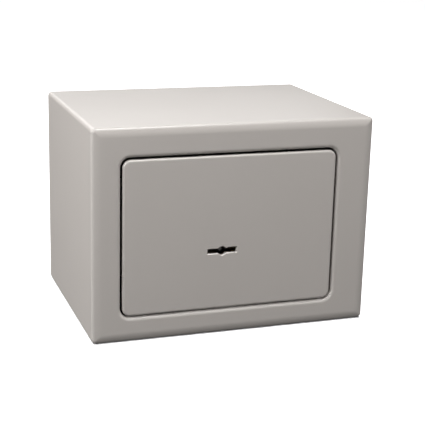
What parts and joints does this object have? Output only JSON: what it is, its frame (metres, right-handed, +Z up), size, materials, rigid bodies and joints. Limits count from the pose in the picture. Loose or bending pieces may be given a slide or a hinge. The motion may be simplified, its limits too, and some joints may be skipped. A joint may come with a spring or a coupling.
{
  "type": "safe",
  "caption": "Small steel safe with an inset hinged door, a horizontal double-bit keyhole, round locking bolts on the opening side and a lever lock behind a cover.",
  "frame": {"origin": "middle of the safe's base, on the surface that it stands on", "axes": "+Z up, +X to the right of a person facing the door (the hinge side), the door faces -Y"},
  "size_m": [0.23, 0.17, 0.17],
  "materials": {
    "black_oxide": "matt blackened steel",
    "powder_coat": "fine-textured warm light grey powder coat",
    "zinc_plate": "clear zinc plate",
    "bright_steel": "turned, satin",
    "cast_zinc": "as cast, matt",
    "brass": "stamped, satin",
    "felt": "needled felt",
    "nylon": "natural, matt"
  },
  "bodies": {
    "safe_body": {"front_frame": "powder_coat", "body_wrap": "powder_coat", "back_panel": "powder_coat", "floor_mat": "felt", "lower_hinge_bracket": "powder_coat", "upper_hinge_bracket": "powder_coat", "lower_hinge_pin": "bright_steel", "upper_hinge_pin": "bright_steel", "hinge_washers": "nylon", "hinge_pin_clips": "bright_steel", "lower_door_stop": "black_oxide", "upper_door_stop": "black_oxide"},
    "door": {"door_panel": "powder_coat", "lower_hinge_arm": "powder_coat", "upper_hinge_arm": "powder_coat", "bolt_guide": "zinc_plate", "cover_standoffs": "zinc_plate", "door_cover": "powder_coat", "cover_screws": "zinc_plate", "lock_studs": "zinc_plate", "lock_nuts": "zinc_plate", "lock_case": "cast_zinc", "lock_cap": "zinc_plate", "cap_screws": "zinc_plate", "lever_post": "bright_steel", "key_pin": "bright_steel", "lever_spring": "bright_steel"},
    "curtain": {"key_curtain": "brass"},
    "lever_body_1": {"lever_1": "brass"},
    "lever_body_2": {"lever_2": "brass"},
    "lever_body_3": {"lever_3": "brass"},
    "lever_body_4": {"lever_4": "brass"},
    "lever_body_5": {"lever_5": "brass"},
    "lever_body_6": {"lever_6": "brass"},
    "boltwork": {"lock_bolt": "bright_steel", "bolt_bar": "zinc_plate", "tail_screws": "zinc_plate", "lower_bolt": "bright_steel", "upper_bolt": "bright_steel", "bolt_screws": "zinc_plate"}
  },
  "joints": [
    {"name": "door_hinge", "type": "hinge", "parent": "safe_body", "child": "door", "pos_m": [0.097, -0.074, 0.085], "axis": [0, 0, 1], "range_deg": [0, 95]},
    {"name": "bolt_throw", "type": "slide", "parent": "door", "child": "boltwork", "axis": [-1, 0, 0], "range_m": [0, 0.012]},
    {"name": "key_turn", "type": "hinge", "parent": "door", "child": "curtain", "pos_m": [-0.0107, -0.082, 0.0685], "axis": [0, 1, 0], "range_deg": [0, 180]},
    {"name": "lever_1_lift", "type": "hinge", "parent": "door", "child": "lever_body_1", "pos_m": [0.0153, -0.07795, 0.0685], "axis": [0, 1, 0], "range_deg": [-3.2, 2.8], "stiffness_Nm_per_rad": 0.08, "springref_deg": -9.2, "deforming": ["lever_spring"]},
    {"name": "lever_2_lift", "type": "hinge", "parent": "door", "child": "lever_body_2", "pos_m": [0.0153, -0.07625, 0.0685], "axis": [0, 1, 0], "range_deg": [-2.6, 2.8], "stiffness_Nm_per_rad": 0.08, "springref_deg": -8.6},
    {"name": "lever_3_lift", "type": "hinge", "parent": "door", "child": "lever_body_3", "pos_m": [0.0153, -0.07455, 0.0685], "axis": [0, 1, 0], "range_deg": [-3, 2.8], "stiffness_Nm_per_rad": 0.08, "springref_deg": -9},
    {"name": "lever_4_lift", "type": "hinge", "parent": "door", "child": "lever_body_4", "pos_m": [0.0153, -0.07285, 0.0685], "axis": [0, 1, 0], "range_deg": [-2.4, 2.8], "stiffness_Nm_per_rad": 0.08, "springref_deg": -8.4},
    {"name": "lever_5_lift", "type": "hinge", "parent": "door", "child": "lever_body_5", "pos_m": [0.0153, -0.07115, 0.0685], "axis": [0, 1, 0], "range_deg": [-3.4, 2.8], "stiffness_Nm_per_rad": 0.08, "springref_deg": -9.4},
    {"name": "lever_6_lift", "type": "hinge", "parent": "door", "child": "lever_body_6", "pos_m": [0.0153, -0.06945, 0.0685], "axis": [0, 1, 0], "range_deg": [-2.8, 2.8], "stiffness_Nm_per_rad": 0.08, "springref_deg": -8.8}
  ],
  "couplings": [
    {"joint": "key_turn", "follows": "bolt_throw", "rad_per_m": 261.79}
  ]
}
